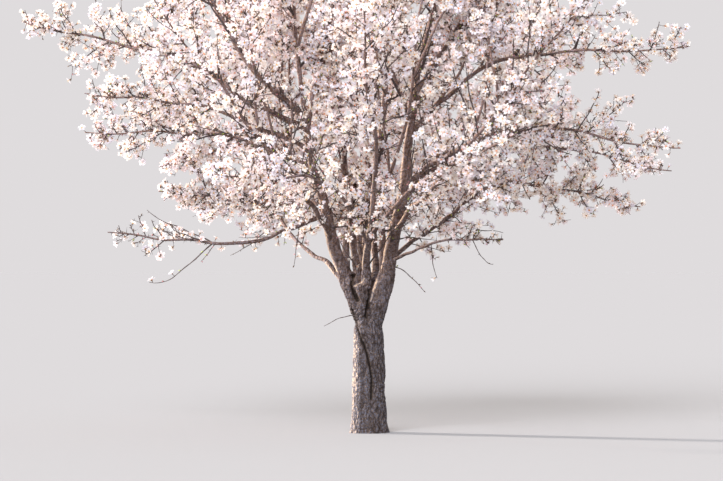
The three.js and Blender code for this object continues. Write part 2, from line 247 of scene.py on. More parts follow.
leaders = {}
for number, (name, plan) in enumerate(LEADERS.items(), start=1):
    tip, reach = np.array(plan["tip"]), np.array(plan["reach"])
    if plan["at"] is None:
        foot = np.array(plan["start"])
        leaving = unit(foot - HEART)
    else:
        parent = leaders[plan["start"]]["bough"]
        ring = int(round(plan["at"] * (len(parent) - 1)))
        foot = parent[ring]
        onward = unit(parent[ring + 1] - parent[ring])
        leaving = unit(onward + (unit(tip - foot) - onward) * (1 - plan["leave"]))
    arriving = unit(unit(tip - foot) + UP * plan["rise"])
    seed = np.array([number])
    drawn = limbs(foot[None], tip[None], leaving[None], arriving[None], seed, DRAWN)
    bough = evenly(drawn[0], BOUGH_RINGS)
    heading = unit(bough[-1] - bough[-2])
    end = unit(reach - tip)
    end = unit(end + UP * LIFT * end[2])
    drawn = limbs(tip[None], reach[None], heading[None], end[None], seed + STEM_SEED, DRAWN)
    stem = evenly(drawn[0], STEM_RINGS)
    steepness = max(0.0, unit(reach - tip)[2])
    leaders[name] = dict(plan, bough=bough, stem=stem, main=plan["at"] is None, steepness=steepness)


def tubes(lines, radii, sides):
    """Closed tubes round many lines at once. Round every point of a line stands a ring: the point,
    plus its radius times the cosine and the sine of the ring's angle, along two directions across
    the line. A fan of triangles closes each end."""
    count, rings = lines.shape[:2]
    tangent = unit(np.gradient(lines, axis=1))
    out = np.broadcast_to(sideways(unit(lines[:, -1] - lines[:, 0]))[:, None, :], tangent.shape)
    out = unit(out - (out * tangent).sum(-1, keepdims=True) * tangent)
    over = np.cross(tangent, out)
    angle = np.arange(sides) / sides * 2 * np.pi
    circle = out[:, :, None] * np.cos(angle)[:, None] + over[:, :, None] * np.sin(angle)[:, None]
    wall = lines[:, :, None] + circle * np.broadcast_to(radii, (count, rings, sides))[..., None]
    vertices = np.concatenate([wall.reshape(count, -1, 3), lines[:, [0, -1]]], axis=1)
    step, turn = np.meshgrid(np.arange(rings - 1) * sides, np.arange(sides), indexing="ij")
    here, there = step + turn, step + (turn + 1) % sides
    low = np.stack([here, there, there + sides], axis=-1).reshape(-1, 3)
    high = np.stack([here, there + sides, here + sides], axis=-1).reshape(-1, 3)
    ring, beside = np.arange(sides), (np.arange(sides) + 1) % sides
    last = (rings - 1) * sides
    foot = np.stack([np.full(sides, rings * sides), beside, ring], axis=-1)
    top = np.stack([np.full(sides, rings * sides + 1), last + ring, last + beside], axis=-1)
    faces = np.concatenate([low, high, foot, top])
    triangles = faces[None] + (np.arange(count) * vertices.shape[1])[:, None, None]
    return vertices.reshape(-1, 3), triangles.reshape(-1, 3)


def joined(parts):
    """Several pairs of vertices and triangles as one, each part's numbers moved past the last's."""
    starts = np.cumsum([0] + [len(vertices) for vertices, _ in parts[:-1]])
    triangles = [triangles + start for (_, triangles), start in zip(parts, starts)]
    return np.concatenate([vertices for vertices, _ in parts]), np.concatenate(triangles)


def piece(name, vertices, triangles, material, smooth=True):
    """A mesh object at the origin from whole arrays of vertices and triangles."""
    mesh = bpy.data.meshes.new(name)
    mesh.vertices.add(len(vertices))
    mesh.vertices.foreach_set("co", np.ascontiguousarray(vertices, np.float32).ravel())
    mesh.loops.add(triangles.size)
    mesh.loops.foreach_set("vertex_index", triangles.astype(np.int32).ravel())
    mesh.polygons.add(len(triangles))
    mesh.polygons.foreach_set("loop_start", np.arange(0, triangles.size, 3, dtype=np.int32))
    mesh.polygons.foreach_set("use_smooth", np.full(len(triangles), smooth))
    mesh.update(calc_edges=True)
    mesh.materials.append(material)
    made = bpy.data.objects.new(name, mesh)
    bpy.context.collection.objects.link(made)
    return made


def noise(points, seed):
    """Smooth noise from 0 to 1: a chance for each corner of a lattice of unit cubes, blended
    across the cube by the curve 3 t squared less 2 t cubed along each of its three sides."""
    base = np.floor(points)
    t = points - base
    t = t * t * (3 - 2 * t)
    total = np.zeros(len(points))
    for corner in np.ndindex(2, 2, 2):
        at = base + corner
        weight = np.prod(np.where(corner, t, 1 - t), axis=1)
        total += weight * chance(at[:, 0] + 57 * at[:, 2], at[:, 1], seed)
    return total


def furrows(points):
    """The bark's relief from 0, in a furrow, to 1, on a ridge: upright wandering furrows where one
    stretched noise crosses its middle, broken across into plates by a second, squarer one."""
    stray = noise(points * STRAY_GRAIN, 1)[:, None] * STRAY
    ridge = np.abs(2 * noise((points + stray) * FURROW_GRAIN, 2) - 1)
    plate = np.abs(2 * noise((points + stray) * PLATE_GRAIN, 3) - 1)
    plates = PLATE_SHARES[0] + PLATE_SHARES[1] * np.clip(plate * PLATE_STEEP, 0, 1)
    return np.clip(ridge * FURROW_STEEP, 0, 1) ** FURROW_ROUND * plates


def near_path(points, path):
    """How far each point lies, seen from the front, from a path of straight pieces: the least
    distance to the nearest point of any one piece."""
    path = np.array(path)
    flat = points[:, [0, 2]]
    best = np.full(len(points), np.inf)
    for a, b in zip(path[:-1], path[1:]):
        share = np.clip((flat - a) @ (b - a) / ((b - a) @ (b - a)), 0, 1)[:, None]
        best = np.minimum(best, np.linalg.norm(flat - a - share * (b - a), axis=1))
    return best


def add(tree, kind, output, inputs, **settings):
    """One output of a new shading node of some kind. Each of its inputs is set to a value, or
    linked where another node's output is given."""
    made = tree.nodes.new(kind)
    for name, value in settings.items():
        setattr(made, name, value)
    for key, value in inputs.items():
        if isinstance(value, bpy.types.NodeSocket):
            tree.links.new(value, made.inputs[key])
        else:
            made.inputs[key].default_value = value
    return made.outputs[output]


def matt(name, roughness, specular):
    """A material with a dull gloss, its tree of nodes and its shader."""
    material = bpy.data.materials.new(name)
    material.use_nodes = True
    shader = material.node_tree.nodes["Principled BSDF"]
    shader.inputs["Roughness"].default_value = roughness
    shader.inputs["Specular IOR Level"].default_value = specular
    return material, material.node_tree, shader


def speckle(tree, place, scale, detail, roughness=0.5):
    """A noise from 0 to 1 over a place."""
    inputs = {"Vector": place, "Scale": scale, "Detail": detail, "Roughness": roughness}
    return add(tree, "ShaderNodeTexNoise", "Fac", inputs)


def span(tree, value, low, high, top=1.0):
    """A value drawn out, so that low becomes 0 and high becomes top."""
    inputs = {"Value": value, "From Min": low, "From Max": high, "To Max": top}
    return add(tree, "ShaderNodeMapRange", "Result", inputs)


def blend(tree, share, under, over, how="MIX"):
    """A colour with a share of another mixed in, or multiplied in."""
    inputs = {0: share, 6: under, 7: (*over, 1)}
    return add(tree, "ShaderNodeMix", 2, inputs, data_type="RGBA", blend_type=how)


def ramp(tree, value, stops):
    """A colour read off between stops by a value."""
    made = add(tree, "ShaderNodeValToRGB", "Color", {"Fac": value})
    elements = made.node.color_ramp.elements
    for number, (position, colour) in enumerate(stops):
        element = elements[number] if number < 2 else elements.new(position)
        element.position, element.color = position, (*colour, 1)
    return made


BARK_TONES = (
    (0.0, (0.012, 0.009, 0.008)),
    (0.25, (0.037, 0.027, 0.023)),
    (0.53, (0.075, 0.058, 0.050)),
    (0.70, (0.156, 0.127, 0.113)),
)
WARM_PATCH = (1.0, 0.84, 0.72)
BLUE_GREY = (0.096, 0.107, 0.150)
YOUNG_TINT = (2.60, 2.14, 1.82)
YOUNG_HEIGHTS = (0.70, 1.40)
# Painted sunlight and highlights: the pale warm colour that the highest relief is mixed toward, and the
# heights over which it comes in; the pale scar takes it too.
SUNLIT_RIM_AND_SCAR_PALE = (0.500, 0.385, 0.290)
PALEST_HEIGHTS = (0.66, 0.98)
RELIEF_SHARE = 0.41
FLAKE_SHARE = 0.29
GRAIN_SHARE = 0.35


def bark_material():
    """Grey-brown bark: dark in the furrows and paler on the plates, by the relief that the mesh
    carries and by flakes drawn out along the wood, with warmer patches, blue-grey flecks, browner
    young limbs and a fine grain. The highest relief is drawn palest: painted sunlight on the side
    that faces the sun, painted highlights on two rims, and the pale scar."""
    material, tree, shader = matt("almond_bark", roughness=0.88, specular=0.2)
    place = add(tree, "ShaderNodeTexCoord", "Object", {})
    relief = add(tree, "ShaderNodeAttribute", "Fac", {}, attribute_name="relief")
    drawn = add(tree, "ShaderNodeMapping", "Vector", {"Vector": place, "Scale": (1.0, 1.0, 0.8)})
    flakes = speckle(tree, drawn, scale=90.0, detail=6.0, roughness=0.7)
    plates = span(tree, flakes, low=0.40, high=0.60)
    share = add(tree, "ShaderNodeMath", "Value", {0: relief, 1: RELIEF_SHARE}, operation="MULTIPLY")
    summed = {0: plates, 1: FLAKE_SHARE, 2: share}
    height = add(tree, "ShaderNodeMath", "Value", summed, operation="MULTIPLY_ADD")
    tone = ramp(tree, height, BARK_TONES)
    patches = speckle(tree, place, scale=8.0, detail=5.0)
    warm = blend(tree, patches, tone, WARM_PATCH, "MULTIPLY")
    flecks = span(tree, speckle(tree, place, scale=150.0, detail=3.0), low=0.46, high=0.58, top=0.85)
    both = {0: flecks, 1: relief}
    raised = add(tree, "ShaderNodeMath", "Value", both, operation="MULTIPLY", use_clamp=True)
    grey = blend(tree, raised, warm, BLUE_GREY)
    young = span(tree, add(tree, "ShaderNodeSeparateXYZ", "Z", {"Vector": place}), *YOUNG_HEIGHTS)
    browner = blend(tree, young, grey, YOUNG_TINT, "MULTIPLY")
    # Painted sunlight and highlights: the highest relief turns pale and warm.
    with_painted_sun = blend(tree, span(tree, height, *PALEST_HEIGHTS), browner, SUNLIT_RIM_AND_SCAR_PALE)
    tree.links.new(with_painted_sun, shader.inputs["Base Color"])
    grain = {0: speckle(tree, place, scale=300.0, detail=5.0), 1: GRAIN_SHARE, 2: height}
    rough = add(tree, "ShaderNodeMath", "Value", grain, operation="MULTIPLY_ADD")
    bump = {"Height": rough, "Strength": 0.9, "Distance": 0.004}
    tree.links.new(add(tree, "ShaderNodeBump", "Normal", bump), shader.inputs["Normal"])
    return material


def painted_sun_share(around):
    """How much painted sunlight the bark takes at an angle round the wood: 1 on the side that faces
    the sun and 0 on the rest, by a bell of the eighth power, which has steep sides."""
    aside = np.abs((around - SUNLIT_TURN + np.pi) % (2 * np.pi) - np.pi)
    return np.exp(-((aside / SUNLIT_WIDTH) ** 8))


def set_relief(made, relief):
    """Keeps each vertex's relief on the mesh, for the material to read."""
    kept = made.data.attributes.new("relief", "FLOAT", "POINT")
    kept.data.foreach_set("value", relief.astype(np.float32))


def read(items, key):
    """One three-part value of every item of a mesh, as rows."""
    values = np.empty(len(items) * 3, np.float32)
    items.foreach_get(key, values)
    return values.reshape(-1, 3).astype(float)


bark = bark_material()

upward = np.linspace(0, 1, TRUNK_RINGS) ** RINGS_CROWD_LOW
rings = np.concatenate([[-BELOW_CUT], upward * TRUNK_HEIGHT])
column = np.stack([TRUNK_LEAN * rings / TRUNK_HEIGHT, 0 * rings, rings], axis=1)
above = np.maximum(rings, 0)[:, None]
angle = np.arange(TRUNK_SIDES)[None, :] / TRUNK_SIDES * 2 * np.pi
fading = np.exp(-above / (2 * FLARE_HEIGHT))
lobes = 1 + LOBE_DEPTH * np.cos(LOBES * (angle - np.pi / 2) + LOBE_TURN) * fading
shoulder = 1 - PINCH * np.clip((above - SHOULDER) / (TRUNK_HEIGHT - SHOULDER), 0, 1) ** 2
plain = TRUNK_RADIUS - TRUNK_TAPER * above + FLARE * np.exp(-above / FLARE_HEIGHT)
parts = [tubes(column[None], (shoulder * lobes * plain)[None], TRUNK_SIDES)]
for leader in leaders.values():
    if leader["main"]:
        limb = leader["bough"][:COLLAR_REACH]
        inward = np.linspace(0, COLLAR_INWARD, COLLAR_RINGS)[:, None]
        collar = np.concatenate([HEART + (limb[0] - HEART) * inward, limb])
        share = np.linspace(0, 1, len(collar))
        swell = COLLAR_SWELL[0] * (1 - share) ** 1.5 + COLLAR_SWELL[1] * np.sin(np.pi * share)
        collar_radii = leader["radii"][0] * (1.0 - COLLAR_TAPER * np.clip(share * 2 - 1, 0, 1)) + swell
        parts.append(tubes(collar[None], collar_radii[None, :, None], COLLAR_SIDES))
# A short stub between the left limb and the middle ones, cut off square and long healed over.
stub = np.linspace(*STUB, STUB_RINGS)
stub_radii = np.linspace(*STUB_RADII, STUB_RINGS)
parts.append(tubes(stub[None], stub_radii[None, :, None], COLLAR_SIDES))

rough = piece("fork_shape", *joined(parts), bark)
skin = rough.modifiers.new("skin", "REMESH")
skin.mode, skin.voxel_size = "VOXEL", SKIN_SIZE
ease = rough.modifiers.new("ease", "SMOOTH")
ease.factor, ease.iterations = SKIN_EASE, SKIN_ROUNDS
bpy.context.view_layer.update()
shaped = bpy.data.meshes.new_from_object(rough.evaluated_get(bpy.context.evaluated_depsgraph_get()))
bpy.data.objects.remove(rough)
points = read(shaped.vertices, "co")
normals = read(shaped.vertex_normals, "vector")
relief = furrows(points)
lumps = noise(points * LUMP_GRAIN, 4) - 0.5
front = normals[:, 1] < FACING_FRONT
crack = np.where(front, np.exp(-((near_path(points, CRACK) / CRACK_WIDTH) ** 2)), 0)
centre, half = SCAR
off = np.hypot((points[:, 0] - centre[0]) / half[0], (points[:, 2] - centre[1]) / half[1])
scar = np.where(front & (points[:, 0] < SCAR_LEFT_OF), off, FAR_OFF)
worn = 1 / (1 + np.exp((scar - 1) * SCAR_EDGE))
lip = np.exp(-(((scar - LIP_AT) / LIP_WIDTH) ** 2))
depth = FURROW_DEPTH * (1 - relief) * (1 - worn)
gap = np.min([near_path(points, path) for path in CREASES], axis=0)
crease = np.where(front, np.exp(-((gap / CREASE_WIDTH) ** 2)), 0)
around = np.arctan2(points[:, 1], points[:, 0] - TRUNK_LEAN * points[:, 2] / TRUNK_HEIGHT)
fade = 1 / (1 + np.exp((points[:, 2] - RIDGE_TOP) / RIDGE_FADE))
ridge = np.clip((around - RIDGE_FROM) / (RIDGE_TURN - RIDGE_FROM), 0, 1)
ridge *= np.exp(-((np.maximum(around - RIDGE_TURN, 0) / RIDGE_WIDTH) ** 2)) * fade
push = LUMP_HEIGHT * lumps - depth + RIDGE_HEIGHT * ridge
push += LIP_HEIGHT * lip - SCAR_DEPTH * worn - CRACK_DEPTH * crack - CREASE_DEPTH * crease
points += normals * push[:, None]
# Painted shade: the crack and the creases lose their relief, and more, so they are drawn darkest.
relief = relief * (1 - crack) * (1 - crease) * (1 - worn)
relief = relief + PALE_SCAR * worn - CREASE_PAINTED_SHADE * np.maximum(crack, crease)
shaped.vertices.foreach_set("co", points.astype(np.float32).ravel())
trunk = bpy.data.objects.new("trunk_bark", shaped)
bpy.context.collection.objects.link(trunk)
# Painted sunlight: extra relief on the trunk's sunward side, drawn paler by the material.
relief += PAINTED_SUN * painted_sun_share(around) * fade * (0.5 + noise(points * PAINTED_SUN_GRAIN, 6))
# Painted highlights along the two rims.
sunlit_rim_gap = np.min([near_path(points, path) for path in SUNLIT_RIMS], axis=0)
relief += np.where(front, RIM_HIGHLIGHT * np.exp(-((sunlit_rim_gap / SUNLIT_RIM_WIDTH) ** 2)), 0)
set_relief(trunk, relief)
level = bmesh.new()
level.from_mesh(shaped)
whole = level.verts[:] + level.edges[:] + level.faces[:]
ground = dict(plane_co=(0, 0, 0), plane_no=(0, 0, 1))
cut = bmesh.ops.bisect_plane(level, geom=whole, clear_inner=True, **ground)
edges = [each for each in cut["geom_cut"] if isinstance(each, bmesh.types.BMEdge)]
bmesh.ops.holes_fill(level, edges=edges)
level.to_mesh(shaped)
level.free()
shaped.polygons.foreach_set("use_smooth", np.full(len(shaped.polygons), True))
shaped.materials.clear()
shaped.materials.append(bark)
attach(trunk, "root")
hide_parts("trunk")

# The boughs: bare tapering limbs of the same bark, smoother than the trunk's, with knobs where
# old spurs stood. Each is a closed tube along its leader, carved by the same relief, and starts
# inside the wood that it leaves.
MAIN_SIDES = 20
MAIN_SWELL = -0.25
SIDE_SIDES = 12
SIDE_SWELL = 0.35
SWELL_REACH = 0.06
BARK_STRETCH = [1.2, 1.2, 1.0]
BOUGH_FURROW = 0.0035
FURROW_SHARE = 0.16
KNOB = 0.004
KNOB_GRAIN = 22.0
# Painted sunlight on the thicker limbs' sunward side, and how far its angle is turned from the trunk's.
LIMB_PAINTED_SUN = 1.25
LIMB_TURN = np.radians(12)
THIN = 0.009
THICK = 0.017


def painted_sun_on_limbs(out):
    """Painted sunlight, as extra relief on the side that faces the sun, on limbs thicker than a
    finger: it grows with the distance out from the limb's axis."""
    thickness = np.linalg.norm(out, axis=1)
    thick = np.clip((thickness - THIN) / (THICK - THIN), 0, 1)
    return LIMB_PAINTED_SUN * thick * painted_sun_share(np.arctan2(out[:, 1], out[:, 0]) + LIMB_TURN)


def around_axis(lines, sides):
    """The point of its line that each vertex of closed tubes stands round."""
    return np.concatenate([np.repeat(lines, sides, axis=1), lines[:, [0, -1]]], axis=1).reshape(-1, 3)


def boughs(chosen, sides, swell):
    """The carved tubes of several leaders' boughs, and the relief on each vertex. The radius falls
    evenly from foot to tip, swells at the foot, and wavers by a slow noise along the limb."""
    lines = np.stack([leader["bough"] for leader in chosen])
    share = np.linspace(0, 1, lines.shape[1])
    radii = np.stack([r0 + (r1 - r0) * share for r0, r1 in (leader["radii"] for leader in chosen)])
    collar = swell * radii * np.exp(-share / SWELL_REACH)
    waver = noise(lines.reshape(-1, 3) * KNOB_GRAIN, 5).reshape(radii.shape) - 0.5
    vertices, triangles = tubes(lines, (radii + collar + KNOB * waver)[..., None], sides)
    out = vertices - around_axis(lines, sides)
    length = np.linalg.norm(out, axis=1, keepdims=True)
    relief = furrows(vertices * BARK_STRETCH)
    depth = np.minimum(BOUGH_FURROW, length[:, 0] * FURROW_SHARE) * (1 - relief)
    # Painted sunlight on the thicker limbs' sunward side.
    relief = relief + painted_sun_on_limbs(out)
    return (vertices - out / np.maximum(length, 1e-6) * depth[:, None], triangles), relief


mains = [leader for leader in leaders.values() if leader["main"]]
sides = [leader for leader in leaders.values() if not leader["main"]]
main_shape, main_relief = boughs(mains, MAIN_SIDES, MAIN_SWELL)
side_shape, side_relief = boughs(sides, SIDE_SIDES, SIDE_SWELL)
limb_bark = piece("bough_bark", *joined([main_shape, side_shape]), bark)
set_relief(limb_bark, np.concatenate([main_relief, side_relief]))
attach(limb_bark, "root")
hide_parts(*["bough_" + name for name in LEADERS])

# The blossom's wood: stems that carry the boughs on, limbs inside the crown, side twigs that turn
# round both by the golden angle, and finer shoots. Stems and limbs have the boughs' bark, the rest
# is smooth and mauve-brown. A twig that would leave its mass's space is cut shorter or left out.
TURN = np.radians(137.5)
FORWARD = 0.7
CLEARANCE = 0.008
STEM_TIP = 0.0035
BARE_TIP = 0.0016
BARE_BELOW = 1.12
CUTS = (1.0, 0.75, 0.5)
STRAY_ALONG = 0.5
LENGTHS = (0.8, 0.4)
SEED_STEP = 50
INNER_PIECES = 5
BOUGH_PIECES = 6
STEM_PIECES = 8
TWIG = dict(seed=0, count=6, first=0.1, last=0.95, spread=0.42, longest=0.6, level=0.85)
TWIG.update(upright=0.5, lift=0.15, root=0.6, thickest=0.0085, thinnest=0.0022, bare=0.3)
TWIG.update(pieces=10, overlap=0.0)
BETWEEN = dict(TWIG, seed=40, count=9, spread=0.3, longest=0.42, level=0.95, bare=1.0, overlap=0.08)
WHIP = dict(TWIG, seed=60, count=7, first=0.25, last=0.97, spread=0.45, longest=0.52, level=0.97)
WHIP.update(upright=0.25, lift=1.1, overlap=0.12)
SHOOT = dict(BETWEEN, seed=10, count=6, first=0.12, last=0.98, spread=0.6, longest=0.26, level=0.6)
SHOOT.update(root=0.7, thickest=0.004, thinnest=0.0014, pieces=4, overlap=0.12)
STEM_SHOOT = dict(SHOOT, seed=30, count=16, spread=0.3, longest=0.2, level=0.8)
BOUGH_SHOOT = dict(SHOOT, seed=50, count=14, first=0.0, longest=0.34, level=0.3, upright=0.3)
UPPER_SEED = 201
INNER_SEED = 300
BARE_SEED = 400
TRUNK_TWIG_SEED = 450
UPPER_FROM = 22
UPPER_PIECES = 20
INNER_DRAWN = 120
INNER_RINGS = 30
INNER_ALONG = 0.5
BARE_PIECES = 14
STEM_SIDES = 9
INNER_SIDES = 7
LIMB_KNOBS = 0.06
KNOB_STEP = 2.4
STEM_RELIEF = (0.4, 0.6)
TWIG_BROWN = (0.080, 0.060, 0.057)
MASSES = ["blossom_" + name for name in LEADERS]


def turned(vectors, axis, angle):
    """Vectors that lie across an axis, turned about it: the vector times the angle's cosine, plus
    the cross product of the axis and the vector times its sine."""
    angle = np.asarray(angle)[..., None]
    return vectors * np.cos(angle) + np.cross(axis, vectors) * np.sin(angle)


def at_shares(lines, line, share):
    """The points at shares of the length of the numbered lines, and the wood's headings there."""
    spot = share * (lines.shape[1] - 1)
    first = np.minimum(spot.astype(int), lines.shape[1] - 2)
    here, there = lines[line, first], lines[line, first + 1]
    return here + (there - here) * (spot - first)[:, None], unit(there - here)


def distances(points, starts, ends):
    """How far each point lies from each straight piece of wood: the distance to the point of the
    piece whose share of its length is the nearest, kept between 0 and 1."""
    way = ends - starts
    share = ((points[:, None] - starts) * way).sum(-1) / (way * way).sum(-1)
    return np.linalg.norm(points[:, None] - starts - np.clip(share, 0, 1)[..., None] * way, axis=-1)


# Limbs inside the crown: each leaves a share of the way along a leader's bough or stem. Then come
# the radii at its foot and tip, and the point that it reaches.
INNER = [
    ("left", "bough", 0.88, (0.016, 0.005), (-0.2, -0.16, 2.62)),
    ("right", "bough", 0.9, (0.015, 0.005), (-0.04, 0.05, 2.66)),
    ("right", "stem", 0.06, (0.013, 0.004), (0.66, -0.18, 2.66)),
    ("right_high", "bough", 0.6, (0.01, 0.004), (0.72, -0.12, 2.48)),
    ("right", "bough", 0.0, (0.03, 0.006), (-0.01, 0.14, 1.7)),
    ("left", "bough", 0.02, (0.026, 0.006), (-0.08, 0.15, 1.6)),
    ("centre", "bough", 0.0, (0.026, 0.006), (0.035, 0.13, 1.52)),
    ("centre", "bough", 0.02, (0.03, 0.007), (-0.105, 0.13, 1.5)),
    ("back_left", "bough", 0.0, (0.03, 0.007), (-0.1, 0.14, 1.52)),
    ("front_right", "stem", 0.05, (0.009, 0.004), (0.26, -0.42, 2.12)),
    ("front_left", "stem", 0.05, (0.009, 0.004), (-0.46, -0.42, 2.08)),
    ("right", "stem", 0.1, (0.01, 0.004), (0.44, -0.6, 2.92)),
    ("left_upper", "bough", 0.3, (0.01, 0.004), (-0.5, 0.14, 2.66)),
    ("right_high", "bough", 0.3, (0.01, 0.004), (0.44, 0.22, 2.6)),
    ("right_high", "stem", 0.1, (0.009, 0.004), (0.86, 0.2, 2.62)),
    ("left_low", "stem", 0.05, (0.009, 0.004), (-1.26, 0.02, 1.6)),
    ("right_back", "bough", 0.8, (0.009, 0.004), (0.98, 0.1, 1.5)),
    ("centre_back", "stem", 0.08, (0.01, 0.004), (-0.28, 0.52, 2.86)),
    ("left_back", "bough", 0.8, (0.01, 0.004), (-0.58, 0.52, 2.66)),
    ("front_high", "bough", 0.9, (0.009, 0.004), (-0.06, -0.5, 2.56)),
    ("front_left", "stem", 0.15, (0.009, 0.004), (-0.74, -0.56, 2.58)),
    ("front_right", "stem", 0.25, (0.01, 0.004), (0.76, -0.42, 2.6)),
    ("front_right", "stem", 0.42, (0.01, 0.004), (0.6, -0.95, 2.56)),
    ("right_arm", "bough", 0.6, (0.009, 0.004), (0.68, -0.16, 2.08)),
    ("front_left", "bough", 0.85, (0.009, 0.004), (-0.2, -0.44, 1.96)),
    ("left", "bough", 0.72, (0.01, 0.004), (-0.25, -0.12, 2.36)),
    ("left", "bough", 0.5, (0.009, 0.004), (-0.22, 0.1, 2.16)),
    ("centre_left", "bough", 0.45, (0.009, 0.004), (-0.27, -0.05, 2.00)),
    ("left_upper", "bough", 0.6, (0.009, 0.004), (-0.5, -0.3, 2.46)),
    ("left", "stem", 0.2, (0.012, 0.004), (-0.06, -0.52, 3.28)),
    ("centre_left", "stem", 0.25, (0.01, 0.004), (-0.14, 0.22, 3.72)),
    ("centre", "stem", 0.2, (0.01, 0.004), (0.22, 0.62, 3.42)),
    ("right", "stem", 0.25, (0.011, 0.004), (0.6, 0.2, 3.55)),
    ("right_upper", "stem", 0.15, (0.009, 0.004), (0.98, -0.2, 3.3)),
    ("left_upper", "stem", 0.2, (0.011, 0.004), (-0.8, -0.46, 3.32)),
    ("left_upper", "stem", 0.25, (0.01, 0.004), (-0.86, 0.42, 3.28)),
    ("front", "stem", 0.22, (0.01, 0.004), (0.02, -0.8, 2.78)),
    ("front_high", "stem", 0.3, (0.009, 0.004), (0.74, -0.8, 2.98)),
    ("front_left", "stem", 0.3, (0.009, 0.004), (-0.66, -1.00, 2.82)),
    ("back", "stem", 0.35, (0.01, 0.004), (-0.14, 1.32, 2.86)),
    ("centre_back", "stem", 0.3, (0.009, 0.004), (-0.34, 0.96, 3.22)),
    ("back_right", "stem", 0.3, (0.009, 0.004), (0.68, 0.94, 3.02)),
]
# Slender twigs with few flowers: each leaves its leader along one heading, and reaches its point
# along another. Its radius at the foot comes last.
BARE = [
    ("low_left", "stem", 0.28, (-0.8, 0.0, 0.5), (-1.299, -0.46, 1.327), (-0.7, 0.0, 0.7), 0.005),
    ("low_left", "stem", 0.27, (-0.8, 0.0, -0.6), (-1.29, -0.4, 0.904), (-1.0, 0.0, 0.3), 0.0045),
    ("low_right", "stem", 0.6, (0.4, 0.0, -0.8), (0.73, -0.35, 1.01), (1.0, 0.0, 0.1), 0.003),
    ("low_right", "stem", 0.45, (0.6, 0.0, 0.8), (0.789, -0.35, 1.195), (0.9, 0.0, -0.3), 0.004),
    ("low_right", "stem", 0.03, (0.1, 0.0, -1.0), (0.402, -0.27, 0.928), (0.4, 0.0, -0.9), 0.0035),
    ("right", "bough", 0.1, (1.0, -0.2, 0.0), (0.335, -0.12, 0.844), (0.6, 0.0, -0.6), 0.004),
    ("front", "bough", 0.45, (0.4, -0.2, 0.8), (0.258, -0.24, 1.269), (1.0, 0.0, 0.4), 0.005),
    ("left", "bough", 0.32, (0.5, -0.8, 0.3), (0.167, -0.16, 1.202), (1.0, 0.0, -0.2), 0.006),
    ("right", "bough", 0.24, (-0.3, -0.9, 0.2), (0.4, -0.3, 1.15), (1.0, 0.0, -0.2), 0.006),
    ("centre_left", "bough", 0.04, (-0.3, -0.9, 0.4), (-0.225, -0.15, 1.235), (-0.5, 0, 0.85), 0.0045),
    ("centre", "bough", 0.05, (0.4, -0.8, 0.6), (0.3, -0.2, 1.32), (0.8, 0.0, 0.4), 0.006),
    ("right", "bough", 0.3, (-0.8, -0.5, 0.1), (-0.15, -0.16, 1.255), (-1.0, 0.0, 0.15), 0.0045),
    ("centre", "bough", 0.22, (-0.6, -0.8, 0.0), (-0.11, -0.12, 1.14), (-1.0, 0.0, 0.0), 0.003),
    ("right", "bough", 0.92, (-0.35, -0.3, 1.0), (-0.23, -0.3, 2.6), (-0.85, 0.0, 0.5), 0.009),
]
TRUNK_TWIG = ((-0.05, -0.03, 0.69), (-0.8, -0.1, 0.45), (-0.27, -0.05, 0.639), (-0.9, 0, -0.5), 0.0035)


def inner_limb(row, seed):
    """A limb that leaves a leader's bough or stem and reaches a point."""
    name, wood, share, _, end = row
    start, heading = at_shares(leaders[name][wood][None], np.array([0]), np.array([share]))
    end = np.array([end])
    way = unit(end - start)
    leaving, arriving = unit(way + INNER_ALONG * heading), unit(way + LIFT * UP)
    drawn = limbs(start, end, leaving, arriving, np.array([seed]), INNER_DRAWN)
    return evenly(drawn[0], INNER_RINGS)


names = list(leaders)
inner = dict(
    lines=np.stack([inner_limb(row, INNER_SEED + number) for number, row in enumerate(INNER)]),
    owner=np.array([names.index(row[0]) for row in INNER]),
    seed=INNER_SEED + np.arange(len(INNER)),
    radii=np.array([row[3] for row in INNER]),
)


def bare_twigs(starts, leaving, ends, arriving, thickness, owner, seed):
    """Slender limbs as wood that flowers can grow on."""
    radii = np.stack([thickness, np.full(len(thickness), BARE_TIP)], axis=1)
    lines = limbs(starts, ends, unit(leaving), unit(arriving), seed, BARE_PIECES)
    return dict(lines=lines, owner=owner, seed=seed, radii=radii)


leave, ends, arrive, thickness = (np.array([row[column] for row in BARE]) for column in (3, 4, 5, 6))
lines = [leaders[name][wood] for name, wood, *_ in BARE]
starts = np.array([line[int(row[2] * (len(line) - 1))] for line, row in zip(lines, BARE)])
owner = np.full(len(BARE), names.index("low_right"))
bare = bare_twigs(starts, leave, ends, arrive, thickness, owner, BARE_SEED + np.arange(len(BARE)))
path = [np.array([value]) for value in TRUNK_TWIG]
trunk_twig = bare_twigs(*path, owner[:1], np.array([TRUNK_TWIG_SEED]))

rows = []
for owner, line in zip(inner["owner"], inner["lines"]):
    run = evenly(line, INNER_PIECES)
    rows += [(owner, False, 0.0, *a, *b) for a, b in zip(run[:-1], run[1:])]
for owner, leader in enumerate(leaders.values()):
    in_pieces = (("bough", BOUGH_PIECES, leader["radii"][0]), ("stem", STEM_PIECES, 0.0))
    for wood, pieces, radius in in_pieces:
        run = evenly(leader[wood], pieces)
        rows += [(owner, wood == "bough", radius, *a, *b) for a, b in zip(run[:-1], run[1:])]
table = np.array(rows)
piece_owner, is_bough, piece_radius = table[:, 0].astype(int), table[:, 1] > 0, table[:, 2]
piece_start, piece_end = table[:, 3:6], table[:, 6:9]


